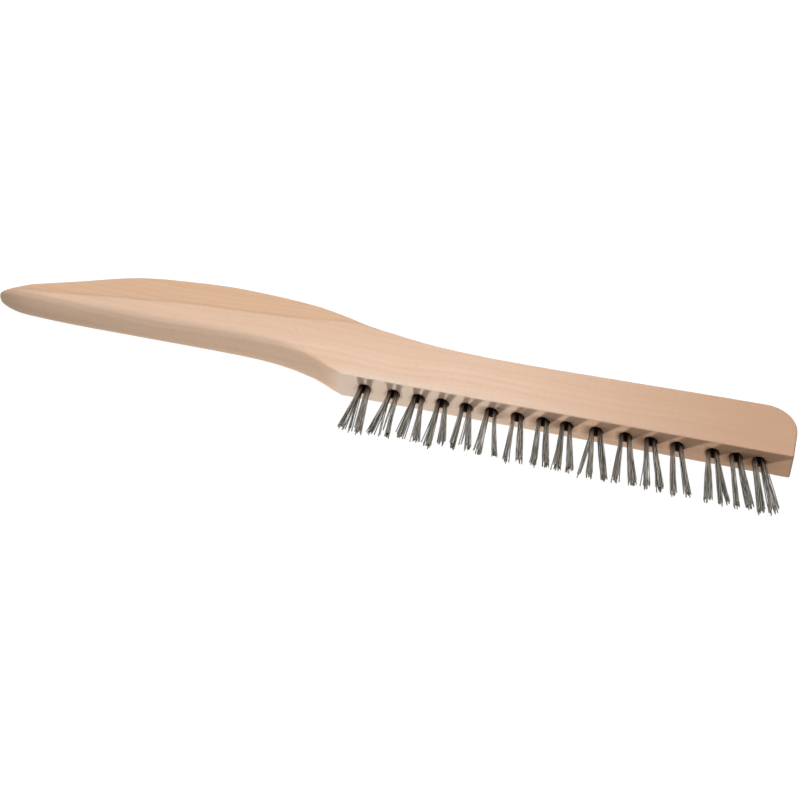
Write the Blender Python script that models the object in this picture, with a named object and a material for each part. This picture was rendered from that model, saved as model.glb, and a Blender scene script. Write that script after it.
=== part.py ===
"""Single-row wire scratch brush: a curved wooden handle with a row of stapled steel-wire tufts.

The brush lies on one flat side. +X runs from the tip of the handle to the toe of the head, the
wires point to -Y and +Z is the thickness of the wood. While the shapes are made, the origin is the
toe end of the bristle face, on the lower flat side; at the end everything moves so that the origin
is the middle of the underside of the whole brush.
"""

import math

import bmesh
import bpy
from mathutils import Matrix, Vector

# Wooden handle block, in metres. Heights are measured from the bristle face, towards the back.
OVERALL_LENGTH = 0.254
BLOCK_THICKNESS = 0.0095
TOE_HEIGHT = 0.0193
NECK_HEIGHT = 0.0181
CREST_HEIGHT = 0.0333
UNDERSIDE_RISE = 0.0065
TIP_HEIGHT = 0.0106
TOE_RADIUS = 0.010
NOSE_LENGTH = 0.010
NOSE_THINNING = 0.7
BACK_ROUNDING = 0.0145
UNDERSIDE_ROUNDING = 0.0046

# Outline of the handle: (distance behind the heel as a share of the handle's length, height as a
# share of the named rise). The heel is the corner where the bristle face ends.
BACK_LINE = (
    (-0.36, 0.0),
    (-0.20, 0.08),
    (-0.07, 0.27),
    (0.05, 0.67),
    (0.15, 0.87),
    (0.35, 1.0),
    (0.50, 0.95),
    (0.65, 0.79),
    (0.80, 0.37),
    (0.90, 0.07),
    (1.0, -0.27),
)
UNDERSIDE_LINE = (
    (0.0, 0.0),
    (0.03, 0.15),
    (0.07, 0.39),
    (0.12, 0.59),
    (0.20, 0.84),
    (0.30, 0.96),
    (0.60, 0.98),
    (0.80, 1.0),
    (0.92, 1.13),
    (1.0, 1.40),
)
# How much of each full rounding the handle has, along the same distance.
BACK_ROUNDING_LINE = (
    (-0.16, 0.0),
    (-0.08, 0.03),
    (0.0, 0.20),
    (0.12, 0.64),
    (0.30, 0.93),
    (0.50, 1.0),
    (0.66, 1.0),
    (0.80, 0.74),
    (1.0, 0.20),
)
UNDERSIDE_ROUNDING_LINE = ((0.0, 0.0), (0.04, 0.25), (0.14, 0.85), (0.25, 1.0), (1.0, 1.0))
BACK_CREASE = math.radians(25)
# Roundings take at most these shares of the handle's height, so that a flat side stays between them.
BACK_ROUNDING_ROOM = 0.6
UNDERSIDE_ROUNDING_ROOM = 0.35

# Tufts: their row, the drilled holes and the staples.
TUFT_COUNT = 16
TUFT_PITCH = 0.008
TOE_MARGIN = 0.0095
HEEL_MARGIN = 0.0075
LEAN_AT_HEEL = math.radians(-1)
LEAN_AT_TOE = math.radians(15)
TRIM_AT_HEEL = 0.0163
TRIM_AT_TOE = 0.0188
HOLE_DIAMETER = 0.0038
HOLE_DEPTH = 0.010
FOLD_THICKNESS = 0.0012
FLARE_LENGTH = 0.003
FLARE_SPREAD = 0.00065
TIP_SPAN_SHARE = 0.78
TIP_HALF_DEPTH = 0.0018
TIP_BELLY = 0.3
FLARE_BELLY = 0.2
LEG_FILL = 0.92
STRAIGHT_SHARE = 0.6
FOLD_NECK = 1.2
STAPLE_WIRE = 0.0007
STAPLE_LEG = 0.0065
STAPLE_BEND = 0.0005
STAPLE_POINT = 0.3
FIT_GAP = 0.0003
# The holes are drilled by eye: each one's drift from its even place, as a share of the pitch.
HOLE_DRIFT = (
    0.0, 0.14, 0.11, 0.03, -0.04, -0.07, -0.07, -0.09,
    -0.20, -0.08, 0.03, -0.03, -0.05, 0.26, 0.12, -0.04,
)

HEAD_LENGTH = TOE_MARGIN + (TUFT_COUNT - 1) * TUFT_PITCH + HEEL_MARGIN
HANDLE_LENGTH = OVERALL_LENGTH - HEAD_LENGTH
HOLE_RADIUS = HOLE_DIAMETER / 2
STAPLE_RADIUS = STAPLE_WIRE / 2
STAPLE_HOLE_RADIUS = STAPLE_RADIUS + FIT_GAP
STAPLE_HALF_SPAN = HOLE_RADIUS - FIT_GAP - STAPLE_RADIUS
CROWN_DEPTH = HOLE_DEPTH - FOLD_THICKNESS - 2 * FIT_GAP - STAPLE_RADIUS
LEG_INNER = STAPLE_RADIUS + FIT_GAP
LEG_OUTER = HOLE_RADIUS - FIT_GAP
FOLD_OUTER = LEG_INNER + FOLD_THICKNESS
FOLD_HALF_WIDTH = STAPLE_HALF_SPAN - STAPLE_RADIUS - FIT_GAP
LEG_HALF_WIDTH = LEG_FILL * math.sqrt(LEG_OUTER**2 - LEG_INNER**2)

TOE_STEPS = 7
HEAD_STEPS = 6
CURVE_STEPS = 10
HANDLE_STEPS = 12
NOSE_STEPS = 6
CURVE_END_SHARE = 0.2
NOSE_LAST_TURN = math.radians(86)
BACK_STEPS = 5
UNDERSIDE_STEPS = 4
HOLE_SIDES = 16
STAPLE_HOLE_SIDES = 8
STAPLE_SIDES = 6
BUNDLE_SIDES = 8
FOLD_STEPS = 6


def clear_scene():
    for obj in list(bpy.data.objects):
        bpy.data.objects.remove(obj, do_unlink=True)


def material(name, colour, roughness, metallic):
    made = bpy.data.materials.new(name)
    made.use_nodes = True
    shader = made.node_tree.nodes["Principled BSDF"]
    shader.inputs["Base Color"].default_value = (*colour, 1)
    shader.inputs["Roughness"].default_value = roughness
    shader.inputs["Metallic"].default_value = metallic
    return made


def add_object(name, mesh, finish=None):
    obj = bpy.data.objects.new(name, mesh)
    bpy.context.scene.collection.objects.link(obj)
    if finish:
        mesh.materials.clear()
        mesh.materials.append(finish)
    return obj


def finish_mesh(name, bm, sharp_degrees=35):
    """Turns a bmesh into a smooth-shaded mesh whose faces point out."""
    bmesh.ops.recalc_face_normals(bm, faces=bm.faces)
    mesh = bpy.data.meshes.new(name)
    bm.to_mesh(mesh)
    bm.free()
    mesh.shade_smooth()
    mesh.set_sharp_from_angle(angle=math.radians(sharp_degrees))
    return mesh


def loft(bm, rings):
    """Skins closed rings of equally many points, and closes both ends with a flat cap."""
    made = [[bm.verts.new(point) for point in ring] for ring in rings]
    for ring, after in zip(made, made[1:]):
        for i, vert in enumerate(ring):
            j = (i + 1) % len(ring)
            bm.faces.new((vert, ring[j], after[j], after[i]))
    bm.faces.new(made[0])
    bm.faces.new(reversed(made[-1]))


def smooth_line(points, at):
    """The value at one place of a smooth curve through (place, value) points, level past its ends."""
    if at <= points[0][0]:
        return points[0][1]
    if at >= points[-1][0]:
        return points[-1][1]

    def slope(k):
        before, after = max(k - 1, 0), min(k + 1, len(points) - 1)
        return (points[after][1] - points[before][1]) / (points[after][0] - points[before][0])

    k = max(i for i, point in enumerate(points) if point[0] <= at)
    (x0, y0), (x1, y1) = points[k], points[k + 1]
    length = x1 - x0
    t = (at - x0) / length
    return (
        (2 * t**3 - 3 * t**2 + 1) * y0
        + (t**3 - 2 * t**2 + t) * length * slope(k)
        + (3 * t**2 - 2 * t**3) * y1
        + (t**3 - t**2) * length * slope(k + 1)
    )


def nose_share(x):
    """How full the section is near the tip, as a quarter of an ellipse: 1 up to the nose, 0 at its end."""
    into_nose = (NOSE_LENGTH - OVERALL_LENGTH - x) / NOSE_LENGTH
    return math.sqrt(max(1 - max(into_nose, 0) ** 2, 0))


def back_height(x):
    """Height of the back above the bristle face at x, which is 0 at the toe and negative behind it."""
    behind_heel = (-x - HEAD_LENGTH) / HANDLE_LENGTH
    head_share = min(-x / (HEAD_LENGTH + BACK_LINE[0][0] * HANDLE_LENGTH), 1)
    head = TOE_HEIGHT + (NECK_HEIGHT - TOE_HEIGHT) * math.sin(head_share * math.pi / 2) ** 2
    height = head + (CREST_HEIGHT - NECK_HEIGHT) * smooth_line(BACK_LINE, behind_heel)
    if x > -TOE_RADIUS:
        height -= TOE_RADIUS - math.sqrt(TOE_RADIUS**2 - (TOE_RADIUS + x) ** 2)
    return TIP_HEIGHT + (height - TIP_HEIGHT) * nose_share(x)


def underside_height(x):
    """Height of the handle's underside above the bristle face, which is 0 all along the head."""
    behind_heel = (-x - HEAD_LENGTH) / HANDLE_LENGTH
    height = UNDERSIDE_RISE * smooth_line(UNDERSIDE_LINE, behind_heel)
    return TIP_HEIGHT + (height - TIP_HEIGHT) * nose_share(x)


def block_ring(x):
    """One section of the block: a rounding over the back, a flat side, a rounding under, a flat side."""
    behind_heel = (-x - HEAD_LENGTH) / HANDLE_LENGTH
    back, under = back_height(x), underside_height(x)
    back_round = BACK_ROUNDING * smooth_line(BACK_ROUNDING_LINE, behind_heel)
    back_round = min(back_round, BACK_ROUNDING_ROOM * (back - under))
    under_round = UNDERSIDE_ROUNDING * smooth_line(UNDERSIDE_ROUNDING_LINE, behind_heel)
    under_round = min(under_round, UNDERSIDE_ROUNDING_ROOM * (back - under))
    middle = BLOCK_THICKNESS / 2
    half = middle * nose_share(x) ** NOSE_THINNING
    ring = []
    for step in range(-BACK_STEPS, BACK_STEPS + 1):
        turn = math.pi / 2 - (math.pi / 2 - BACK_CREASE) * abs(step) / BACK_STEPS
        out = (math.sin(turn) - math.sin(BACK_CREASE)) / (1 - math.sin(BACK_CREASE))
        up = math.copysign(math.cos(turn) / math.cos(BACK_CREASE), -step) if step else 0
        ring.append((x, back - back_round * (1 - out), middle + half * up))
    for step in range(-UNDERSIDE_STEPS, UNDERSIDE_STEPS + 1):
        turn = math.pi / 2 * (1 - abs(step) / UNDERSIDE_STEPS)
        up = math.copysign(math.cos(turn), step) if step else 0
        ring.append((x, under + under_round * (1 - math.sin(turn)), middle + half * up))
    return ring


def block_stations():
    """Where the sections stand: close together at the toe, the heel's curves and the tip."""
    curve_front = HEAD_LENGTH + BACK_LINE[0][0] * HANDLE_LENGTH
    curve_end = HEAD_LENGTH + CURVE_END_SHARE * HANDLE_LENGTH
    nose_front = OVERALL_LENGTH - NOSE_LENGTH
    stretches = (
        (TOE_RADIUS, curve_front, HEAD_STEPS),
        (curve_front, HEAD_LENGTH, CURVE_STEPS),
        (HEAD_LENGTH, curve_end, CURVE_STEPS),
        (curve_end, nose_front, HANDLE_STEPS),
    )
    places = [TOE_RADIUS * (1 - math.cos(math.pi / 2 * i / TOE_STEPS)) for i in range(TOE_STEPS)]
    for start, end, steps in stretches:
        places += [start + (end - start) * i / steps for i in range(steps)]
    turns = [NOSE_LAST_TURN * i / NOSE_STEPS for i in range(NOSE_STEPS + 1)]
    places += [nose_front + NOSE_LENGTH * math.sin(turn) for turn in turns]
    return places


def tuft_place(index):
    """Matrix from a tuft's own frame to the block's: origin at the middle of the hole's mouth, -Y out."""
    share = index / (TUFT_COUNT - 1)
    drift = HOLE_DRIFT[index % len(HOLE_DRIFT)] * TUFT_PITCH
    x = HEEL_MARGIN - HEAD_LENGTH + index * TUFT_PITCH + drift
    lean = LEAN_AT_HEEL + (LEAN_AT_TOE - LEAN_AT_HEEL) * share
    return Matrix.Translation((x, 0, BLOCK_THICKNESS / 2)) @ Matrix.Rotation(lean, 4, "Z")


def drill(bm, place, x, z, start, end, radius, sides):
    """Adds one drill's round volume along the tuft's axis, from one depth to another."""
    rings = []
    for depth in (start, end):
        turns = [math.tau * (i + 0.5) / sides for i in range(sides)]
        rings.append(
            [place @ Vector((x + radius * math.cos(t), depth, z + radius * math.sin(t))) for t in turns]
        )
    loft(bm, rings)


def hole_cutters():
    """Two hidden guides: the drilled holes, and the thin holes that the staples' legs are driven in."""
    mouths, leg_holes = bmesh.new(), bmesh.new()
    for index in range(TUFT_COUNT):
        place = tuft_place(index)
        drill(mouths, place, 0, 0, -HOLE_RADIUS, HOLE_DEPTH, HOLE_RADIUS, HOLE_SIDES)
        for z in (-STAPLE_HALF_SPAN, STAPLE_HALF_SPAN):
            end = CROWN_DEPTH + STAPLE_LEG + FIT_GAP
            start = HOLE_DEPTH - HOLE_RADIUS / 2
            drill(leg_holes, place, 0, z, start, end, STAPLE_HOLE_RADIUS, STAPLE_HOLE_SIDES)
    cutters = []
    for name, bm in (("hole_cutter", mouths), ("staple_hole_cutter", leg_holes)):
        cutter = add_object(name, finish_mesh(name, bm))
        cutter.hide_render = True
        cutter.display_type = "WIRE"
        cutters.append(cutter)
    return cutters


def wood_handle_block(finish):
    bm = bmesh.new()
    loft(bm, [block_ring(-place) for place in block_stations()])
    block = add_object("wood_handle_block", finish_mesh("wood_handle_block", bm), finish)
    for cutter in hole_cutters():
        cut = block.modifiers.new(cutter.name, "BOOLEAN")
        cut.operation = "DIFFERENCE"
        cut.solver = "EXACT"
        cut.object = cutter
    return block


def bundle_section(inner, outer, half_width, belly):
    """(distance from the tuft's axis, z) points round a bundle: flat or bellied inside, round outside."""
    base = inner + belly
    points = []
    for step in range(BUNDLE_SIDES):
        turn = math.tau * step / BUNDLE_SIDES - math.pi / 2
        reach = outer - base if math.cos(turn) > 0 else belly
        points.append((base + reach * math.cos(turn), half_width * math.sin(turn)))
    return points


def tuft_leg_rings(trim, side):
    """Sections of one leg, from its cut tip down the hole to the level of the staple's crown."""
    tip_outer = TIP_SPAN_SHARE * TUFT_PITCH / 2
    flare_outer = LEG_OUTER + FLARE_SPREAD
    middle = (trim + FLARE_LENGTH) / 2
    middle_outer = (tip_outer + flare_outer) / 2
    middle_half = (LEG_HALF_WIDTH + TIP_HALF_DEPTH) / 2
    sections = (
        (trim, LEG_INNER, tip_outer, TIP_HALF_DEPTH, TIP_BELLY),
        (middle, LEG_INNER, middle_outer, middle_half, TIP_BELLY),
        (FLARE_LENGTH, LEG_INNER, flare_outer, LEG_HALF_WIDTH, FLARE_BELLY),
        (0, LEG_INNER, LEG_OUTER, LEG_HALF_WIDTH, 0),
        (-CROWN_DEPTH * STRAIGHT_SHARE, LEG_INNER, LEG_OUTER, LEG_HALF_WIDTH, 0),
    )
    rings = []
    for out, inner, outer, half_width, belly_share in sections:
        points = bundle_section(inner, outer, half_width, belly_share * (outer - inner))
        rings.append([Vector((side * n, -out, z)) for n, z in points])
    return rings


def tuft_fold_rings():
    """Sections of the half turn in which the wires pass below the staple's crown."""
    rings = []
    for step in range(FOLD_STEPS + 1):
        turn = math.pi * step / FOLD_STEPS
        depth_share = math.sin(turn)
        outer = LEG_OUTER + (FOLD_OUTER - LEG_OUTER) * depth_share**2
        half_width = FOLD_HALF_WIDTH * (FOLD_NECK if step in (0, FOLD_STEPS) else 1)
        points = bundle_section(LEG_INNER, outer, half_width, 0)
        rings.append(
            [Vector((n * math.cos(turn), CROWN_DEPTH + n * depth_share, z)) for n, z in points]
        )
    return rings


def wire_tuft(index, finish):
    """One tuft: steel wires folded once round the staple, so that two legs stand out of the hole."""
    share = index / (TUFT_COUNT - 1)
    trim = TRIM_AT_HEEL + (TRIM_AT_TOE - TRIM_AT_HEEL) * share
    right, left = tuft_leg_rings(trim, 1), tuft_leg_rings(trim, -1)
    bm = bmesh.new()
    loft(bm, right + tuft_fold_rings() + left[::-1])
    name = f"wire_tuft_{index + 1:02d}"
    tuft = add_object(name, finish_mesh(name, bm), finish)
    tuft.matrix_world = tuft_place(index)
    return tuft


def staple_path():
    """Middle line of a staple in the plane across the row: leg, bend, crown, bend, leg."""
    half, bend = STAPLE_HALF_SPAN, STAPLE_BEND
    top, foot = CROWN_DEPTH, CROWN_DEPTH + STAPLE_LEG
    path = [Vector((0, foot, -half)), Vector((0, top + bend, -half))]
    for side in (-1, 1):
        for step in (1, 2):
            turn = math.pi / 2 * step / 3
            turn = turn if side < 0 else math.pi / 2 - turn
            path.append(
                Vector((0, top + bend * (1 - math.sin(turn)), side * (half - bend * (1 - math.cos(turn)))))
            )
    return path + [Vector((0, top + bend, half)), Vector((0, foot, half))]


def staple_mesh():
    """A wire staple with pointed legs."""
    path = staple_path()
    rings = []
    for k, centre in enumerate(path):
        before, after = path[max(k - 1, 0)], path[min(k + 1, len(path) - 1)]
        along = (after - before).normalized()
        across = Vector((1, 0, 0))
        normal = along.cross(across)
        radius = STAPLE_RADIUS * (STAPLE_POINT if k in (0, len(path) - 1) else 1)
        ring = []
        for i in range(STAPLE_SIDES):
            turn = math.tau * i / STAPLE_SIDES
            ring.append(centre + radius * (across * math.cos(turn) + normal * math.sin(turn)))
        rings.append(ring)
    bm = bmesh.new()
    loft(bm, rings)
    return finish_mesh("staple", bm)


def stand_on_origin(pieces):
    """Parents every piece to one empty, and moves that so the origin is the middle of the underside."""
    bpy.context.view_layer.update()
    corners = [obj.matrix_world @ vert.co for obj in pieces for vert in obj.data.vertices]
    lowest = Vector(min(corner[axis] for corner in corners) for axis in range(3))
    highest = Vector(max(corner[axis] for corner in corners) for axis in range(3))
    middle = (lowest + highest) / 2
    frame = bpy.data.objects.new("brush_frame", None)
    bpy.context.scene.collection.objects.link(frame)
    for obj in list(bpy.context.scene.collection.objects):
        if obj != frame:
            obj.parent = frame
    frame.location = (-middle.x, -middle.y, -lowest.z)


def build():
    clear_scene()
    wood = material("beech", (0.72, 0.50, 0.33), 0.6, 0)
    wire_steel = material("tuft_wire_steel", (0.36, 0.35, 0.32), 0.4, 1)
    staple_steel = material("staple_steel", (0.55, 0.55, 0.55), 0.35, 1)
    pieces = [wood_handle_block(wood)]
    staple = staple_mesh()
    for index in range(TUFT_COUNT):
        pieces.append(wire_tuft(index, wire_steel))
        driven = add_object(f"staple_{index + 1:02d}", staple, staple_steel)
        driven.matrix_world = tuft_place(index)
        pieces.append(driven)
    stand_on_origin(pieces)


build()
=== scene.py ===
"""Wire scratch brush: the finished looks of the packed brush, built round its frame.

The brush lies on its flat side. +X points to the toe of the head, the wires point to -Y and +Z is
the thickness of the wood. Sizes are in metres.
"""

import math
import random

import bmesh
import bpy
import numpy as np
from bpy.props import FloatProperty, FloatVectorProperty, IntProperty, PointerProperty
from mathutils import Matrix, Vector


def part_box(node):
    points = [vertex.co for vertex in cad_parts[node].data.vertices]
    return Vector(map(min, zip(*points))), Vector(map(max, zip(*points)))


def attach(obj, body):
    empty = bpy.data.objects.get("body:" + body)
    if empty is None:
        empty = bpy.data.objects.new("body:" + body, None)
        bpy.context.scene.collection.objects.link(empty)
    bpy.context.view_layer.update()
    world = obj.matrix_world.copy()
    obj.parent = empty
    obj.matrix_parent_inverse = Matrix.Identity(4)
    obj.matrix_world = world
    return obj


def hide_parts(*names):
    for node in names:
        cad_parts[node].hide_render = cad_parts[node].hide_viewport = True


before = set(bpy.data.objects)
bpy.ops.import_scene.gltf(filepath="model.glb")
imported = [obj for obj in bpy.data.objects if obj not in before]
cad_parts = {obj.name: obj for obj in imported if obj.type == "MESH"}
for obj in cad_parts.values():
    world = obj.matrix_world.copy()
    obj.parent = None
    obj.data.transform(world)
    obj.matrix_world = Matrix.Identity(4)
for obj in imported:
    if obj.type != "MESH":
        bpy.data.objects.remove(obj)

bl_info = {
    "name": "Wire Scratch Brush",
    "version": (1, 0, 0),
    "blender": (4, 5, 0),
    "location": "View3D > Sidebar > Brush",
    "description": "Builds the beech handle, the steel wire tufts, the staples and the stage",
    "category": "Object",
}

BODY = "root"
BLOCK_NODE = "wood_handle_block"
TUFT_NODES = sorted(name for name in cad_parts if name.startswith("wire_tuft_"))
STAPLE_NODES = sorted(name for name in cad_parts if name.startswith("staple_"))
BLOCK_LOW, BLOCK_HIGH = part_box(BLOCK_NODE)
# The toe end of the bristle face, on the lower flat side: lengths and heights start here.
TOE_CORNER = Vector((BLOCK_HIGH.x, BLOCK_LOW.y, BLOCK_LOW.z))
MM = 0.001

# Outline of the handle: (distance behind the heel as a share of the handle's length, share of the
# named rise). The heel is the corner where the bristle face ends.
BACK_LINE = (
    (-0.36, 0.0), (-0.20, 0.08), (-0.07, 0.27), (0.05, 0.67), (0.15, 0.87), (0.35, 1.0),
    (0.50, 0.95), (0.65, 0.79), (0.80, 0.37), (0.90, 0.07), (1.0, -0.27),
)
UNDERSIDE_LINE = (
    (0.0, 0.0), (0.03, 0.15), (0.07, 0.39), (0.12, 0.59), (0.20, 0.84), (0.30, 0.96),
    (0.60, 0.98), (0.80, 1.0), (0.92, 1.13), (1.0, 1.40),
)
BACK_ROUNDING_LINE = (
    (-0.16, 0.0), (-0.08, 0.03), (0.0, 0.20), (0.12, 0.64), (0.30, 0.93), (0.50, 1.0),
    (0.66, 1.0), (0.80, 0.74), (1.0, 0.20),
)
UNDERSIDE_ROUNDING_LINE = ((0.0, 0.0), (0.04, 0.25), (0.14, 0.85), (0.25, 1.0), (1.0, 1.0))
BACK_CREASE = math.radians(25)
BACK_ROUNDING_ROOM = 0.6
UNDERSIDE_ROUNDING_ROOM = 0.35
# How fast the board thins towards its tip: 1 would be an ellipse seen from the back.
NOSE_THINNING = 0.7
# The packed block stops this far short of its full length, because its tip is a narrow section.
TIP_SHORTFALL = 24e-6

# How each tuft is bent and cut, in mm: its legs' tips, left and right, their lengths and the half
# widths of the tips. Then its stray wires: the share of the leg's wires, the leg they come from
# (0 left, 1 right) and their tip.
TUFT_BENDS = (
    (-2.3, 2.9, 17.0, 17.2, 1.2, 1.0, 0.30, 0, 0.2),
    (-2.8, 2.1, 16.8, 16.4, 1.2, 1.0, 0.22, 0, 0.0),
    (-1.8, 3.1, 16.1, 16.5, 1.3, 1.1, 0.06, 1, 1.2),
    (-0.8, 3.0, 17.8, 15.8, 1.1, 1.5, 0.10, 0, -2.4),
    (-1.3, 3.1, 16.3, 15.8, 0.8, 1.2, 0.18, 1, 1.0),
    (-1.4, 3.4, 16.7, 16.6, 1.0, 1.1, 0.10, 0, -2.8),
    (-1.4, 2.7, 17.3, 17.1, 1.1, 1.0, 0.0, 0, 0.0),
    (-1.2, 2.3, 16.9, 17.1, 1.4, 1.0, 0.0, 0, 0.0),
    (-1.6, 1.9, 17.0, 17.4, 1.1, 1.2, 0.08, 0, -3.4),
    (-1.4, 2.7, 17.6, 18.3, 0.9, 1.2, 0.38, 0, -4.4),
    (-2.8, 2.1, 17.3, 18.2, 1.2, 1.1, 0.0, 0, 0.0),
    (-1.7, 2.1, 17.9, 18.3, 1.1, 1.1, 0.06, 0, -3.0),
    (-2.0, 2.2, 18.4, 18.4, 1.0, 1.1, 0.0, 0, 0.0),
    (-3.0, 0.6, 17.9, 19.2, 1.5, 0.8, 0.30, 1, 2.9),
    (-1.8, 1.9, 18.6, 18.9, 0.9, 1.0, 0.08, 1, 3.0),
    (-2.0, 1.7, 19.1, 19.2, 1.1, 1.4, 0.0, 0, 0.0),
)


def linear(hex_colour):
    """An sRGB hex colour as linear red, green and blue."""
    parts = [int(hex_colour[i : i + 2], 16) / 255 for i in (1, 3, 5)]
    return tuple(c / 12.92 if c <= 0.04045 else ((c + 0.055) / 1.055) ** 2.4 for c in parts)


def size_prop(name, description, default):
    return FloatProperty(
        name=name, description=description, default=default, min=0, precision=5, unit="LENGTH"
    )


def angle_prop(name, description, degrees):
    return FloatProperty(
        name=name, description=description, default=math.radians(degrees), subtype="ANGLE"
    )


def colour_prop(name, description, hex_colour):
    colour = {"default": linear(hex_colour), "subtype": "COLOR", "size": 3, "min": 0, "max": 1}
    return FloatVectorProperty(name=name, description=description, **colour)


class BrushHandleSettings(bpy.types.PropertyGroup):
    """Sizes of the wooden handle block."""

    overall_length: size_prop(
        "Overall length",
        "From the toe to the tip of the handle",
        BLOCK_HIGH.x - BLOCK_LOW.x + TIP_SHORTFALL,
    )
    thickness: size_prop("Thickness", "Thickness of the board", BLOCK_HIGH.z - BLOCK_LOW.z)
    head_length: size_prop("Head length", "Length of the bristle face", 0.137)
    toe_height: size_prop("Toe height", "Height of the head at the toe", 0.0193)
    neck_height: size_prop("Neck height", "Height of the head at the neck", 0.0181)
    crest_height: size_prop("Crest height", "Height of the back's crest", 0.0333)
    underside_rise: size_prop("Underside rise", "Rise of the handle's underside", 0.0065)
    tip_height: size_prop("Tip height", "Height of the middle of the tip", 0.0106)
    toe_radius: size_prop("Toe radius", "Rounded corner over the toe", 0.010)
    nose_length: size_prop("Nose length", "Length over which the tip closes", 0.010)
    back_rounding: size_prop("Back rounding", "Depth of the rounded back", 0.0145)
    underside_rounding: size_prop("Underside rounding", "Depth of the rounded underside", 0.0046)
    edge_sanding: size_prop("Edge sanding", "How far the sander has eased the edges", 0.00034)
    hole_diameter: size_prop("Hole diameter", "Diameter of the drilled holes", 0.0038)
    hole_depth: size_prop("Hole depth", "Depth of the drilled holes", 0.010)
    mouth_tear: size_prop("Mouth tear", "How far the drill has chipped the holes' mouths", 0.00022)


class BrushWireSettings(bpy.types.PropertyGroup):
    """Sizes of the wire tufts."""

    wire_diameter: size_prop("Wire diameter", "Diameter of one wire", 0.00035)
    wires: IntProperty(
        name="Wires", description="Folded wires in a tuft", default=21, min=3, max=60
    )
    lean_at_heel: angle_prop("Lean at heel", "Lean of the first tuft towards the toe", -1)
    lean_at_toe: angle_prop("Lean at toe", "Lean of the last tuft towards the toe", 15)
    fold_depth: size_prop("Fold depth", "Depth of the staple's crown in the hole", 0.00785)
    leg_inner: size_prop("Leg inner", "From the tuft's middle to the inside of a leg", 0.00055)
    leg_outer: size_prop("Leg outer", "From the tuft's middle to the outside of a leg", 0.0017)
    leg_half_width: size_prop("Leg half width", "Half the width of a leg in the hole", 0.00115)
    tip_half_depth: size_prop("Tip half depth", "Half the spread of a leg's tips", 0.0018)
    unevenness: size_prop("Unevenness", "How unevenly the wires are cut", 0.0003)
    seed: IntProperty(name="Seed", description="Seed of the wires' random bends", default=7, min=0)


class BrushFinishSettings(bpy.types.PropertyGroup):
    """Colours of the finishes."""

    beech_pale: colour_prop("Beech, pale", "Early wood of the beech", "#F0D0B7")
    beech_warm: colour_prop("Beech, warm", "Late wood of the beech", "#E6BE9F")
    # Laid on towards the toe as painted shade; along the back edge it is a darker tone of the
    # wood.
    beech_deep_and_toe_shade: colour_prop("Beech, toe", "Deeper tone of the board's toe end", "#C79B7A")
    planed_face: colour_prop("Planed face", "Freshly sawn wood of the bristle face", "#ECDAC9")
    beech_fleck: colour_prop("Beech fleck", "Ray flecks and pores", "#B88A66")
    back_grain: colour_prop("Back grain", "Orange grain laid open on the rounded back", "#DFB48F")
    crease_line: colour_prop("Crease line", "Where the sander met the back's rounding", "#C08A5E")
    # Grey hand grime at the tip; on the underside the same grey is painted shade.
    hand_grime_and_shade: colour_prop("Hand grime", "Grey of the handled tip and underside", "#A08B73")
    mouth_scorch: colour_prop("Mouth scorch", "Browned rim of the drilled holes", "#6E4830")
    scorched_bore: colour_prop("Scorched bore", "Drill burn inside the holes", "#4A3020")
    wire_steel: colour_prop("Wire steel", "Oil-tempered steel wire", "#B3AEA4")
    wire_scale: colour_prop("Wire scale", "Dark drawing scale on the wire", "#7B766E")
    # Painted shade of the wires where they leave the hole, laid on as brown.
    wire_root_shade: colour_prop("Wire root", "Wire browned by the wood's tannin", "#6B5746")
    staple_steel: colour_prop("Staple steel", "Bright drawn staple wire", "#B9B8B4")
    light_table: colour_prop("Light table", "Opal sheet the brush lies on", "#5F5F5F")


NODES_PER_ROW = 12
NODE_SPACING = Vector((180, -220))


def add_node(tree, kind, settings=None, inputs=None):
    """Adds a node, sets its settings, and sets or links its inputs."""
    node = tree.nodes.new(kind)
    row, column = divmod(len(tree.nodes), NODES_PER_ROW)
    node.location = (NODE_SPACING.x * column, NODE_SPACING.y * row)
    for name, value in (settings or {}).items():
        setattr(node, name, value)
    for key, value in (inputs or {}).items():
        if isinstance(value, bpy.types.NodeSocket):
            tree.links.new(value, node.inputs[key])
        else:
            node.inputs[key].default_value = value
    return node


def new_material(name):
    """A material with an empty tree."""
    made = bpy.data.materials.new(name)
    made.use_nodes = True
    made.node_tree.nodes.clear()
    return made


def object_millimetres(tree):
    """Object coordinates in millimetres, so that a pattern's scale is a real size."""
    coords = add_node(tree, "ShaderNodeTexCoord").outputs["Object"]
    larger = {"Vector": coords, "Scale": (1 / MM, 1 / MM, 1 / MM)}
    return add_node(tree, "ShaderNodeMapping", inputs=larger).outputs["Vector"]


def smooth_line(points, at):
    """One place of a smooth curve through (place, value) points; it is level past its ends."""
    if at <= points[0][0]:
        return points[0][1]
    if at >= points[-1][0]:
        return points[-1][1]

    def slope(k):
        before, after = max(k - 1, 0), min(k + 1, len(points) - 1)
        return (points[after][1] - points[before][1]) / (points[after][0] - points[before][0])

    k = max(i for i, point in enumerate(points) if point[0] <= at)
    (x0, y0), (x1, y1) = points[k], points[k + 1]
    length = x1 - x0
    t = (at - x0) / length
    return (
        (2 * t**3 - 3 * t**2 + 1) * y0
        + (t**3 - 2 * t**2 + t) * length * slope(k)
        + (3 * t**2 - 2 * t**3) * y1
        + (t**3 - t**2) * length * slope(k + 1)
    )


def behind_heel(sizes, x):
    """Distance behind the heel as a share of the handle's length; x is negative behind the toe."""
    return (-x - sizes.head_length) / (sizes.overall_length - sizes.head_length)


def nose_share(sizes, x):
    """How full the section is near the tip: 1 up to the nose, 0 at its end."""
    into_nose = (sizes.nose_length - sizes.overall_length - x) / sizes.nose_length
    return math.sqrt(max(1 - max(into_nose, 0) ** 2, 0))


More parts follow.
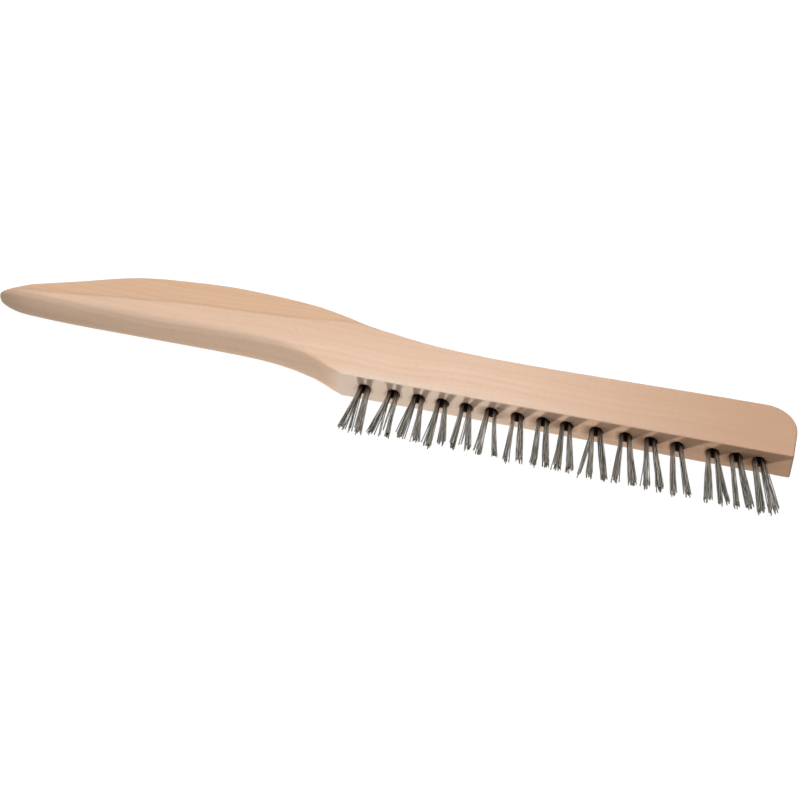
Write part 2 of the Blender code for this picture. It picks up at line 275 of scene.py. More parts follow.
def back_height(sizes, x):
    """Height of the back above the bristle face."""
    handle = sizes.overall_length - sizes.head_length
    head_share = min(-x / (sizes.head_length + BACK_LINE[0][0] * handle), 1)
    rise = math.sin(head_share * math.pi / 2) ** 2
    head = sizes.toe_height + (sizes.neck_height - sizes.toe_height) * rise
    crest = sizes.crest_height - sizes.neck_height
    height = head + crest * smooth_line(BACK_LINE, behind_heel(sizes, x))
    radius = sizes.toe_radius
    if x > -radius:
        height -= radius - math.sqrt(max(radius**2 - (radius + x) ** 2, 0))
    return sizes.tip_height + (height - sizes.tip_height) * nose_share(sizes, x)


def underside_height(sizes, x):
    """Height of the underside above the bristle face, 0 all along the head."""
    height = sizes.underside_rise * smooth_line(UNDERSIDE_LINE, behind_heel(sizes, x))
    return sizes.tip_height + (height - sizes.tip_height) * nose_share(sizes, x)


def roundings(sizes, x):
    """Depths of the rounding over the back and of the one under the handle."""
    room = back_height(sizes, x) - underside_height(sizes, x)
    behind = behind_heel(sizes, x)
    back = sizes.back_rounding * smooth_line(BACK_ROUNDING_LINE, behind)
    under = sizes.underside_rounding * smooth_line(UNDERSIDE_ROUNDING_LINE, behind)
    return min(back, BACK_ROUNDING_ROOM * room), min(under, UNDERSIDE_ROUNDING_ROOM * room)


# Half a section: steps of each rounding before sanding, then the points kept over the back, on the
# flat side and below, and those that crowd round each edge out to the sander's reach.
ARC_STEPS = 24
BACK_POINTS = 8
SIDE_POINTS = 4
UNDER_POINTS = 5
EDGE_POINTS = 9
EDGE_REACH = 0.9 * MM
EDGE_CROWDING = 0.85
# Where the run between two edges is short, reach and sanding stay within their share of it.
REACH_SHARE = 0.45
SANDING_SHARE = 0.2
# Sanding is a bell-shaped average along the section: its reach in sandings, and its points.
BELL_REACH = 2.4
BELL_POINTS = 13


def lengths_along(points):
    """The length of a line of points up to each of them."""
    return np.concatenate([[0], np.cumsum(np.linalg.norm(np.diff(points, axis=0), axis=1))])


def half_section(sizes, x):
    """(height, z) points of the sharp section's upper half, from the middle of the back to the
    middle of the underside, and the two places along it where the flat side starts and ends."""
    back, under = back_height(sizes, x), underside_height(sizes, x)
    back_round, under_round = roundings(sizes, x)
    half = sizes.thickness / 2 * nose_share(sizes, x) ** NOSE_THINNING
    sin_crease, cos_crease = math.sin(BACK_CREASE), math.cos(BACK_CREASE)
    points = []
    for step in range(ARC_STEPS + 1):
        turn = math.pi / 2 - (math.pi / 2 - BACK_CREASE) * step / ARC_STEPS
        out = (math.sin(turn) - sin_crease) / (1 - sin_crease)
        points.append((back - back_round * (1 - out), half * math.cos(turn) / cos_crease))
    for step in range(ARC_STEPS + 1):
        turn = math.pi / 2 * step / ARC_STEPS
        points.append((under + under_round * (1 - math.sin(turn)), half * math.cos(turn)))
    points = np.array(points)
    lengths = lengths_along(points)
    return points, lengths, lengths[ARC_STEPS], lengths[ARC_STEPS + 1]


def sanded_half(sizes, x, sanding):
    """The upper half of a section with its edges eased, as if by a sander."""
    points, lengths, crease, corner = half_section(sizes, x)
    end = lengths[-1]
    shortest = min(crease, corner - crease, end - corner)
    reach = min(EDGE_REACH, REACH_SHARE * shortest)
    soft = min(sanding, SANDING_SHARE * shortest)
    turns = np.linspace(-1, 1, EDGE_POINTS) * math.pi / 2 * EDGE_CROWDING
    edge = np.sin(turns) / math.sin(math.pi / 2 * EDGE_CROWDING)
    places = np.concatenate(
        [
            np.linspace(0, crease - reach, BACK_POINTS)[:-1],
            crease + reach * edge,
            np.linspace(crease + reach, corner - reach, SIDE_POINTS + 2)[1:-1],
            corner + reach * edge,
            np.linspace(corner + reach, end, UNDER_POINTS)[1:],
        ]
    )
    mirrored = points[1:-1][::-1] * (1, -1)
    ring = np.concatenate([points, mirrored, points[:1]])
    along = lengths_along(ring)
    offsets = np.linspace(-BELL_REACH, BELL_REACH, BELL_POINTS)
    weights = np.exp(-(offsets**2) / 2)
    weights /= weights.sum()
    at = (places[:, None] + soft * offsets[None, :]) % along[-1]
    heights = np.interp(at, along, ring[:, 0]) @ weights
    depths = np.interp(at, along, ring[:, 1]) @ weights
    return np.stack([heights, depths], axis=1)


# Sections along the block: over the toe's eased edge, its corner, the head, the neck, the share of
# the handle that curves most, the rest of it, and the nose.
TOE_EASING = 1.6
TOE_EDGE_SHARES = (0, 0.03, 0.12, 0.28, 0.5, 0.75)
CORNER_SECTIONS = 20
HEAD_SECTIONS = 16
NECK_SECTIONS = 32
CURVE_SHARE = 0.2
CURVE_SECTIONS = 32
HANDLE_SECTIONS = 48
NOSE_SECTIONS = 22
LAST_NOSE_TURN = math.radians(89.6)
# The sander's pressure swells and fades.
SANDING_SEED = 11
SWELL_KEPT, SWELL_FRESH, SWELL_DEPTH = 0.8, 0.2, 0.6


def spaced(start, end, steps):
    """Evenly spaced numbers from the start up to the end, which is left out."""
    return [start + (end - start) * i / steps for i in range(steps)]


def block_stations(sizes):
    """Distances behind the toe at which the sections stand."""
    handle = sizes.overall_length - sizes.head_length
    curve_front = sizes.head_length + BACK_LINE[0][0] * handle
    curve_end = sizes.head_length + CURVE_SHARE * handle
    nose_front = sizes.overall_length - sizes.nose_length
    edge = TOE_EASING * sizes.edge_sanding
    places = [edge * share for share in TOE_EDGE_SHARES]
    first = math.acos(1 - edge / sizes.toe_radius)
    turns = spaced(first, math.pi / 2, CORNER_SECTIONS)
    places += [sizes.toe_radius * (1 - math.cos(turn)) for turn in turns]
    places += spaced(sizes.toe_radius, curve_front, HEAD_SECTIONS)
    places += spaced(curve_front, sizes.head_length, NECK_SECTIONS)
    places += spaced(sizes.head_length, curve_end, CURVE_SECTIONS)
    places += spaced(curve_end, nose_front, HANDLE_SECTIONS)
    shares = [math.sin(math.pi / 2 * i / NOSE_SECTIONS) for i in range(NOSE_SECTIONS + 1)]
    return places + [
        nose_front + sizes.nose_length * math.sin(LAST_NOSE_TURN * share) for share in shares
    ]


def block_rings(sizes):
    """Closed rings of points from the toe to the tip, in the packed frame."""
    rings = []
    edge = TOE_EASING * sizes.edge_sanding
    middle = sizes.thickness / 2
    rng = random.Random(SANDING_SEED)
    swell = 0.0
    for place in block_stations(sizes):
        swell = SWELL_KEPT * swell + SWELL_FRESH * rng.uniform(-1, 1)
        half = sanded_half(sizes, -place, sizes.edge_sanding * (1 + SWELL_DEPTH * swell))
        if place < edge:
            inset = edge - math.sqrt(edge**2 - (edge - place) ** 2)
            centre = (half[0, 0] + half[-1, 0]) / 2
            half_height = (half[0, 0] - half[-1, 0]) / 2
            eased = (1 - inset / half_height, 1 - inset / middle)
            half = (half - (centre, 0)) * eased + (centre, 0)
        lower = half[1:-1][::-1] * (1, -1)
        ring = np.concatenate([half, lower])
        rings.append([TOE_CORNER + Vector((-place, y, middle + z)) for y, z in ring])
    return rings


def tuft_place(wires, index):
    """Matrix from a tuft's own frame to the packed frame: origin in the hole's mouth, -Y outwards.
    The staple lies on the tuft's axis, so its box gives the place."""
    share = index / (len(TUFT_NODES) - 1)
    lean = wires.lean_at_heel + (wires.lean_at_toe - wires.lean_at_heel) * share
    low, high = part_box(STAPLE_NODES[index])
    middle = (low + high) / 2
    x = middle.x + (middle.y - TOE_CORNER.y) * math.tan(lean)
    return Matrix.Translation((x, TOE_CORNER.y, middle.z)) @ Matrix.Rotation(lean, 4, "Z")


def skin(bm, rings):
    """Joins rings of points into a closed skin, capped at both ends."""
    rings = [[bm.verts.new(point) for point in ring] for ring in rings]
    for ring, after in zip(rings, rings[1:]):
        for i, vert in enumerate(ring):
            j = (i + 1) % len(ring)
            bm.faces.new((vert, ring[j], after[j], after[i]))
    bm.faces.new(rings[0])
    bm.faces.new(reversed(rings[-1]))


def new_solid(name, bm, finish):
    """Puts a shape into the scene as an object, with its faces pointing outwards."""
    bmesh.ops.recalc_face_normals(bm, faces=bm.faces)
    mesh = bpy.data.meshes.new(name)
    bm.to_mesh(mesh)
    bm.free()
    mesh.materials.append(finish)
    solid = bpy.data.objects.new(name, mesh)
    bpy.context.scene.collection.objects.link(solid)
    return solid


HOLE_SIDES = 28
# Tears of the mouths: the least of them, how much wider they are outside the wood and at its face,
# and where they start and end.
TEAR_SEED = 23
LEAST_TEAR = 0.3
OUTER_TEAR, MOUTH_TEAR = 2.4, 1.6
TEAR_START, TEAR_END = -0.15 * MM, 0.35 * MM


def hole_cutter(sizes, wires, finish):
    """All drilled holes as one guide solid, each with a slightly torn mouth."""
    rng = random.Random(TEAR_SEED)
    radius = sizes.hole_diameter / 2
    outside, inside = (-radius, OUTER_TEAR), (sizes.hole_depth, 0)
    bm = bmesh.new()
    for index in range(len(TUFT_NODES)):
        place = tuft_place(wires, index)
        tears = [rng.uniform(LEAST_TEAR, 1) * sizes.mouth_tear for _ in range(HOLE_SIDES)]
        rings = []
        for depth, torn in (outside, (TEAR_START, MOUTH_TEAR), (TEAR_END, 0), inside):
            ring = []
            for i, tear in enumerate(tears):
                turn = math.tau * i / HOLE_SIDES
                r = radius + torn * tear
                ring.append(place @ Vector((r * math.cos(turn), depth, r * math.sin(turn))))
            rings.append(ring)
        skin(bm, rings)
    return new_solid("hole_guide", bm, finish)


WOOD_MARKS = ("back_band", "crease", "planed", "underside", "hole_rim")
# Widths over which the marks fade out, and how strong three of them already are at their edge.
BAND_FADE = 2 * MM
CREASE_WIDTH = 0.6 * MM
UNDER_FADE = 2.5 * MM
HEEL_FADE = 8 * MM
RIM_FADE = 0.35 * MM
BAND_START, UNDER_START, PLANED_START = 0.5, 0.3, 1.5


def clamped(share):
    return min(max(share, 0), 1)


def mark_block(mesh, sizes, wires):
    """Stores on the wood, point by point, where its finishes lie: the grain laid open on the back,
    the line along the crease, the planed bristle face, the painted shade on the underside and the
    hole rims."""
    places = [tuft_place(wires, i).translation for i in range(len(TUFT_NODES))]
    holes = np.array([(p.x, p.z) for p in places])
    count = len(mesh.vertices)
    points = np.empty(count * 3, np.float32)
    mesh.vertices.foreach_get("co", points)
    marks = {name: np.zeros(count, np.float32) for name in WOOD_MARKS}
    for i, (x, y, z) in enumerate(points.reshape(-1, 3)):
        along, height = x - TOE_CORNER.x, y - TOE_CORNER.y
        back_round, under_round = roundings(sizes, along)
        above = height - (back_height(sizes, along) - back_round)
        below = underside_height(sizes, along) + under_round - height
        behind = behind_heel(sizes, along) * (sizes.overall_length - sizes.head_length)
        full_back = min(back_round / BAND_FADE, 1)
        marks["back_band"][i] = clamped(BAND_START + above / CREASE_WIDTH) * full_back
        marks["crease"][i] = math.exp(-((above / CREASE_WIDTH) ** 2)) * full_back
        darkened, bare = clamped(behind / HEEL_FADE), clamped(1 - behind / HEEL_FADE)
        # The underside's painted shade, starting behind the heel.
        marks["underside"][i] = clamped(UNDER_START + below / UNDER_FADE) * darkened
        marks["planed"][i] = clamped(PLANED_START - height / EDGE_REACH) * bare
        if height < EDGE_REACH:
            near = np.hypot(holes[:, 0] - x, holes[:, 1] - z).min() - sizes.hole_diameter / 2
            marks["hole_rim"][i] = math.exp(-max(near, 0) / RIM_FADE)
    for name, values in marks.items():
        mesh.attributes.new(name, "FLOAT", "POINT").data.foreach_set("value", values)


# The wood's patterns: a stretch of 0.1 makes a feature about 10 mm long.
TRUNK_WANDER = 0.018
WANDER_REACH = (0, 5, 4)
HALF = (0.5, 0.5, 0.5)
PITH_OFFSET = (0, 32, 38)
RING_STRETCH = (0.012, 1, 1)
RINGS_PER_MM = 0.62
FIBRE_STRETCH = (0.12, 3.6, 3.6)
FLECK_STRETCH = (0.42, 1.9, 1.9)
BLOTCH_STRETCH = (0.06, 0.14, 0.14)
WOOD_IOR = 1.46
# The drill has burnt the bore to these shares of its named colour, darkest to palest.
BURNT_SHARE, BROWNED_SHARE = 0.5, 2.0


def beech(finish):
    """Steamed beech, planed and sanded, left bare: pale pinkish wood with soft rings, short darker
    ray flecks and fine pores along the grain. It looks matt, with a faint sheen on the fibres. Its
    colour also carries painted shade, deeper towards the toe and on the handle's underside."""
    made = new_material("steamed_beech_sanded")
    tree = made.node_tree
    marks = {
        name: add_node(tree, "ShaderNodeAttribute", {"attribute_name": name}).outputs["Fac"]
        for name in WOOD_MARKS
    }
    mm = object_millimetres(tree)
    place = add_node(tree, "ShaderNodeSeparateXYZ", inputs={"Vector": mm}).outputs
    # The trunk's axis wanders by a couple of millimetres over a hand's width.
    wood = add_node(
        tree, "ShaderNodeTexNoise", inputs={"Vector": mm, "Scale": TRUNK_WANDER, "Detail": 1.5}
    ).outputs["Color"]
    for operation, other in (("SUBTRACT", HALF), ("MULTIPLY", WANDER_REACH), ("ADD", mm)):
        wood = add_node(
            tree, "ShaderNodeVectorMath", {"operation": operation}, {0: wood, 1: other}
        ).outputs[0]
    # Growth rings: distance from a pith 38 mm below the board and 32 mm over to the wires' side.
    round_pith = {"Vector": wood, "Location": PITH_OFFSET, "Scale": RING_STRETCH}
    flat = add_node(tree, "ShaderNodeMapping", inputs=round_pith).outputs["Vector"]
    radius = add_node(
        tree, "ShaderNodeVectorMath", {"operation": "LENGTH"}, {0: flat}
    ).outputs["Value"]
    across = add_node(tree, "ShaderNodeCombineXYZ", inputs={"X": radius}).outputs[0]
    # Fibres are about 0.3 mm by 8 mm, and flecks lie in cells of 0.5 mm by 2.4 mm. Blotches some
    # 15 mm long are where the steam has coloured the wood unevenly.
    fibrous, flecked, blotched = [
        add_node(tree, "ShaderNodeMapping", inputs={"Vector": start, "Scale": stretch}).outputs[0]
        for start, stretch in ((wood, FIBRE_STRETCH), (wood, FLECK_STRETCH), (mm, BLOTCH_STRETCH))
    ]
    rings, fibres, blotches = [
        add_node(
            tree,
            "ShaderNodeTexNoise",
            inputs={"Vector": start, "Scale": scale, "Detail": detail, "Roughness": roughness},
        ).outputs["Fac"]
        for start, scale, detail, roughness in (
            (across, RINGS_PER_MM, 3.0, 0.6),
            (fibrous, 1.0, 4.0, 0.65),
            (blotched, 1.0, 2.0, 0.5),
        )
    ]
    # Ray flecks: a dash in the middle of each cell, as strong as the cell's random colour says.
    cells = add_node(
        tree, "ShaderNodeTexVoronoi", inputs={"Vector": flecked, "Scale": 1.0, "Randomness": 1.0}
    ).outputs
    near = {"Value": cells["Distance"], "From Min": 0.30, "From Max": 0.12}
    dash = add_node(tree, "ShaderNodeMapRange", inputs=near).outputs[0]
    pick = add_node(tree, "ShaderNodeSeparateColor", inputs={"Color": cells["Color"]}).outputs[0]
    both = {0: dash, 1: pick}
    flecks = add_node(tree, "ShaderNodeMath", {"operation": "MULTIPLY"}, both).outputs[0]
    # The wood's tone, from early to late wood.
    late = {"Value": rings, "From Min": 0.36, "From Max": 0.66}
    ring_tone = add_node(tree, "ShaderNodeMapRange", inputs=late).outputs[0]
    tone = 0.0
    for part, share in ((ring_tone, 0.5), (fibres, 0.35), (blotches, 0.35)):
        tone = add_node(
            tree, "ShaderNodeMath", {"operation": "MULTIPLY_ADD"}, {0: part, 1: share, 2: tone}
        ).outputs[0]
    widened = {"Value": tone, "From Min": 0.27, "From Max": 0.97}
    tone = add_node(tree, "ShaderNodeMapRange", inputs=widened).outputs[0]
    # How much of each deeper tone lies over the bare wood: from least to most between two places
    #     in mm from the middle of the brush, or between two values of the rings. The deepening
    #     towards
    #     the toe is painted shade: the part of the light's falloff along the board that the lamps
    #         leave out.
    toe, back_edge, tip, streaks, heel = [
        add_node(
            tree,
            "ShaderNodeMapRange",
            {"interpolation_type": "SMOOTHSTEP"},
            {"Value": value, "From Min": start, "From Max": end, "To Min": least, "To Max": most},
        ).outputs[0]
        for value, start, end, least, most in (
            # Towards the toe: painted shade of the light falling off along the board.
            (place["X"], 25, 122, 0.0, 0.76),
            (place["Y"], 0, 14, 0.0, 0.22),
            (place["X"], -112, -127, 0.0, 0.12),
            (rings, 0.34, 0.64, 0.4, 0.95),
            (place["X"], 70, 10, 0.0, 0.7),
        )
    ]
    colour = (*finish.beech_pale, 1)
    for amount, share, laid in (
        (tone, 1.0, finish.beech_warm),
        # Painted shade towards the toe, then a darker tone along the back edge in the same colour.
        (toe, 1.0, finish.beech_deep_and_toe_shade),
        (back_edge, 1.0, finish.beech_deep_and_toe_shade),
        (marks["back_band"], streaks, finish.back_grain),
        (marks["crease"], 0.3, finish.crease_line),
        (flecks, 0.36, finish.beech_fleck),
        (marks["planed"], heel, finish.planed_face),
        (tip, 1.0, finish.hand_grime_and_shade),
        # Painted shade on the handle's underside.
        (marks["underside"], 0.24, finish.hand_grime_and_shade),
        (marks["hole_rim"], 0.85, finish.mouth_scorch),
    ):
        laid_on = add_node(
            tree, "ShaderNodeMath", {"operation": "MULTIPLY"}, {0: amount, 1: share}
        ).outputs[0]
        colour = add_node(
            tree, "ShaderNodeMix", {"data_type": "RGBA"}, {0: laid_on, 6: colour, 7: (*laid, 1)}
        ).outputs[2]
    # Fibres raised by a few hundredths of a millimetre, and pores sunk as far.
    height = add_node(
        tree, "ShaderNodeMath", {"operation": "MULTIPLY_ADD"}, {0: flecks, 1: -0.5, 2: fibres}
    ).outputs[0]
    raised = {"Height": height, "Strength": 0.5, "Distance": 0.06 * MM}
    bump = add_node(tree, "ShaderNodeBump", inputs=raised).outputs[0]
    rough = add_node(
        tree, "ShaderNodeMapRange", inputs={"Value": fibres, "To Min": 0.52, "To Max": 0.72}
    ).outputs[0]
    shader = add_node(
        tree,
        "ShaderNodeBsdfPrincipled",
        inputs={"Base Color": colour, "Roughness": rough, "IOR": WOOD_IOR, "Normal": bump},
    )
    add_node(tree, "ShaderNodeOutputMaterial", inputs={"Surface": shader.outputs[0]})
    return made


def scorched_beech(finish):
    """The drilled bore: fibres torn and browned by the hot drill, dark and dull."""
    made = new_material("scorched_beech_bore")
    tree = made.node_tree
    mm = object_millimetres(tree)
    # Tufts of torn fibre about 0.4 mm across.
    fuzz = add_node(
        tree, "ShaderNodeTexNoise", inputs={"Vector": mm, "Scale": 2.5, "Detail": 3.0}
    ).outputs["Fac"]
    burnt, browned = [
        (*[c * share for c in finish.scorched_bore], 1) for share in (BURNT_SHARE, BROWNED_SHARE)
    ]
    colour = add_node(
        tree, "ShaderNodeMix", {"data_type": "RGBA"}, {0: fuzz, 6: burnt, 7: browned}
    ).outputs[2]
    torn = {"Height": fuzz, "Strength": 0.6, "Distance": 0.1 * MM}
    bump = add_node(tree, "ShaderNodeBump", inputs=torn).outputs[0]
    shader = add_node(
        tree,
        "ShaderNodeBsdfPrincipled",
        inputs={"Base Color": colour, "Roughness": 0.85, "IOR": WOOD_IOR, "Normal": bump},
    )
    add_node(tree, "ShaderNodeOutputMaterial", inputs={"Surface": shader.outputs[0]})
    return made


# Wire: the stretch of its scale's patches, and how far and how strongly painted shade browns it
# near and inside the hole.
SCALE_STRETCH = 0.09
ROOT_SHADE_LENGTH_MM = 5
ROOT_SHADE_MOST = 0.8


def drawn_wire(name, bright, dark, root, roughness, patch):
    """Drawn carbon-steel wire: a grey metal with fine lengthwise die lines and patches of dark
    drawing scale, so that neighbouring wires differ in tone. It is painted browner close to the
    wood and inside the hole, as shade where the wires leave it."""
    made = new_material(name)
    tree = made.node_tree
    mm = object_millimetres(tree)
    # One tone to about one wire: patches a patch wide, in mm, and several millimetres long.
    stretched = {"Vector": mm, "Scale": (1 / patch, SCALE_STRETCH, 1 / patch)}
    along = add_node(tree, "ShaderNodeMapping", inputs=stretched).outputs["Vector"]
    tone = add_node(
        tree, "ShaderNodeTexNoise", inputs={"Vector": along, "Scale": 1.0, "Detail": 2.0}
    ).outputs["Fac"]
    scale = add_node(
        tree, "ShaderNodeMapRange", inputs={"Value": tone, "From Min": 0.35, "From Max": 0.65}
    ).outputs[0]
    # The painted shade fades out a few millimetres from the wood, and is strongest inside the
    # hole.
    height = add_node(tree, "ShaderNodeSeparateXYZ", inputs={"Vector": mm}).outputs["Y"]
    face = TOE_CORNER.y / MM
    reach = {"From Min": face - ROOT_SHADE_LENGTH_MM, "From Max": face, "To Max": ROOT_SHADE_MOST}
    root_shade = add_node(tree, "ShaderNodeMapRange", inputs={"Value": height, **reach}).outputs[0]
    colour = (*dark, 1)
    for amount, laid in ((scale, bright), (root_shade, root)):
        colour = add_node(
            tree, "ShaderNodeMix", {"data_type": "RGBA"}, {0: amount, 6: colour, 7: (*laid, 1)}
        ).outputs[2]
    die_lines = add_node(
        tree, "ShaderNodeTexNoise", inputs={"Vector": along, "Scale": 9.0, "Detail": 1.0}
    ).outputs["Fac"]
    scored = {"Height": die_lines, "Strength": 0.25, "Distance": 0.01 * MM}
    bump = add_node(tree, "ShaderNodeBump", inputs=scored).outputs[0]
    uneven = {"Value": tone, "To Min": roughness + 0.1, "To Max": roughness - 0.06}
    rough = add_node(tree, "ShaderNodeMapRange", inputs=uneven).outputs[0]
    shader = add_node(
        tree,
        "ShaderNodeBsdfPrincipled",
        inputs={"Base Color": colour, "Metallic": 1.0, "Roughness": rough, "Normal": bump},
    )
    add_node(tree, "ShaderNodeOutputMaterial", inputs={"Surface": shader.outputs[0]})
    return made


WIRE_SOCKETS = {
    "NodeSocketInt": ("Wires", "Seed"),
    "NodeSocketFloat": (
        "Left Tip", "Right Tip", "Left Length", "Right Length", "Left Spread", "Right Spread",
        "Wire Radius", "Fold Depth", "Leg Inner", "Leg Outer", "Leg Half Width",
        "Tip Half Depth", "Unevenness", "Stray Share", "Stray Leg", "Stray Tip",
    ),
    "NodeSocketMaterial": ("Steel",),
}
# What the bends' lengths set: their first six columns and the last.
BEND_SOCKETS = (*WIRE_SOCKETS["NodeSocketFloat"][:6], "Stray Tip")
SEED_STEP = 31
WIRE_STEPS = 12
WIRE_SIDES = 5
COLUMNS = 3
FOLD_SHARE = 2 / WIRE_STEPS
QUARTER_TURN = math.pi / 2
# The hole is round, so a leg's columns get narrower outwards, and the fold is narrower still.
ROUND_START, ROUND_LOSS = 1.15, 0.4
FOLD_START, FOLD_GAIN = 0.45, 0.55
# How much of a wire's place in the fan comes from its place in the hole; the rest is chance.
FAN_ORDER, DEPTH_ORDER = 0.75, 0.85
# Stray wires fan out less, the fan opens slowly at first, and each wire has its own bow.
STRAY_LOSS = -0.4
OPENING_POWER = 1.12
BOW_DEPTH = 0.9 * MM
# The path of a wire, step by step: (result, operation, operands). An operand is a number, a named
# input or an earlier result. A wire starts at its left tip, is folded under the staple and ends at
# its right tip: turned runs from -1 through 0 in the fold to 1. RANDOM is a number drawn for each
# leg of each wire, between a lowest and a highest, from a seed of its own.
WIRE_FORMULA = (
    ("turned", "MULTIPLY_ADD", "factor", 2, -1),
    ("just turned", "ADD", "turned", 1e-6),
    ("right", "GREATER_THAN", "turned", 0),
    ("leg", "MULTIPLY_ADD", "wire", 2, "right"),
    ("fan seed", "ADD", "Seed", 1),
    ("fan chance", "RANDOM", -0.55, 0.55, "fan seed"),
    ("depth seed", "ADD", "Seed", 2),
    ("depth chance", "RANDOM", -0.3, 0.3, "depth seed"),
    ("cut seed", "ADD", "Seed", 3),
    ("cut chance", "RANDOM", -1.0, 1.0, "cut seed"),
    ("bow seed", "ADD", "Seed", 4),
    ("bow chance", "RANDOM", -1.1, 1.1, "bow seed"),
    ("stray seed", "ADD", "Seed", 5),
    ("stray chance", "RANDOM", 0.0, 1.0, "stray seed"),
    ("side", "SIGN", "just turned"),
    ("up", "ABSOLUTE", "turned"),
    ("fold part", "DIVIDE", "up", FOLD_SHARE),
    ("in fold", "MINIMUM", "fold part", 1),
    ("past fold", "SUBTRACT", "up", FOLD_SHARE),
    ("leg part", "DIVIDE", "past fold", 1 - FOLD_SHARE),
    ("in leg", "MAXIMUM", "leg part", 0),
    # Place in the leg: columns across it, rows over the thickness of the wood.
    ("column", "FLOORED_MODULO", "wire", COLUMNS),
    ("full rows", "DIVIDE", "wire", COLUMNS),
    ("row", "FLOOR", "full rows"),
    ("part rows", "DIVIDE", "Wires", COLUMNS),
    ("rows", "CEIL", "part rows"),
    ("column middle", "ADD", "column", 0.5),
    ("column share", "DIVIDE", "column middle", COLUMNS),
    ("row middle", "ADD", "row", 0.5),
    ("row part", "DIVIDE", "row middle", "rows"),
    ("row share", "MULTIPLY_ADD", "row part", 2, -1),
    ("leg depth", "SUBTRACT", "Leg Outer", "Leg Inner"),
    ("root", "MULTIPLY_ADD", "column share", "leg depth", "Leg Inner"),
    ("pinch", "MULTIPLY", "column share", ROUND_LOSS),
    ("squeeze", "SUBTRACT", ROUND_START, "pinch"),
    ("row place", "MULTIPLY", "row share", "Leg Half Width"),
    ("root z", "MULTIPLY", "row place", "squeeze"),
    # Each leg has its own tip, spread and length.
    ("tip rise", "SUBTRACT", "Right Tip", "Left Tip"),
    ("tip middle", "MULTIPLY_ADD", "tip rise", "right", "Left Tip"),
    ("spread rise", "SUBTRACT", "Right Spread", "Left Spread"),
    ("spread", "MULTIPLY_ADD", "spread rise", "right", "Left Spread"),
    ("length rise", "SUBTRACT", "Right Length", "Left Length"),
    ("cut", "MULTIPLY_ADD", "length rise", "right", "Left Length"),
    # The fan of the tips, with a few stray wires.
    ("from leg", "SUBTRACT", "right", "Stray Leg"),
    ("other leg", "ABSOLUTE", "from leg"),
    ("same leg", "SUBTRACT", 1, "other leg"),
    ("picked", "LESS_THAN", "stray chance", "Stray Share"),
    ("stray", "MULTIPLY", "picked", "same leg"),
    ("to stray", "SUBTRACT", "Stray Tip", "tip middle"),
    ("own tip", "MULTIPLY_ADD", "to stray", "stray", "tip middle"),
    ("closeness", "MULTIPLY_ADD", "stray", STRAY_LOSS, 1),
    ("column place", "MULTIPLY_ADD", "column share", 2, -1),
    ("across", "MULTIPLY", "column place", "side"),
    ("fan", "MULTIPLY_ADD", "across", FAN_ORDER, "fan chance"),
    ("fan width", "MULTIPLY", "fan", "spread"),
    ("tip x", "MULTIPLY_ADD", "fan width", "closeness", "own tip"),
    ("fan z", "MULTIPLY_ADD", "row share", DEPTH_ORDER, "depth chance"),
    ("tip z", "MULTIPLY", "fan z", "Tip Half Depth"),
    # How far out of the mouth each point is.
    ("length", "MULTIPLY_ADD", "cut chance", "Unevenness", "cut"),
    ("total", "ADD", "length", "Fold Depth"),
    ("travel", "MULTIPLY", "in leg", "total"),
    ("out", "SUBTRACT", "travel", "Fold Depth"),
    ("out share", "DIVIDE", "out", "length"),
    ("beyond", "MAXIMUM", "out share", 0),
    # Beyond the mouth a wire leaves the bundle.
    ("opened", "POWER", "beyond", OPENING_POWER),
    ("to tip", "SUBTRACT", 1, "beyond"),
    ("arch", "MULTIPLY", "to tip", "beyond"),
    ("bow share", "MULTIPLY", "arch", "bow chance"),
    ("bow", "MULTIPLY", "bow share", BOW_DEPTH),
    ("fold turn", "MULTIPLY", "in fold", QUARTER_TURN),
    ("fold sine", "SINE", "fold turn"),
    ("fold cosine", "COSINE", "fold turn"),
    ("root side", "MULTIPLY", "root", "side"),
    ("root x", "MULTIPLY", "root side", "fold sine"),
    ("reach x", "SUBTRACT", "tip x", "root x"),
    ("bent x", "MULTIPLY_ADD", "reach x", "opened", "root x"),
    ("x", "ADD", "bent x", "bow"),
    ("reach z", "SUBTRACT", "tip z", "root z"),
    ("bent z", "MULTIPLY_ADD", "reach z", "opened", "root z"),
    ("bowed z", "ADD", "bent z", "bow"),
    ("narrow", "MULTIPLY_ADD", "in fold", FOLD_GAIN, FOLD_START),
    ("z", "MULTIPLY", "bowed z", "narrow"),
    # In the fold the wires pass below the staple, side by side.
    ("fold y", "MULTIPLY", "fold cosine", "root"),
    ("y", "SUBTRACT", "fold y", "out"),
)


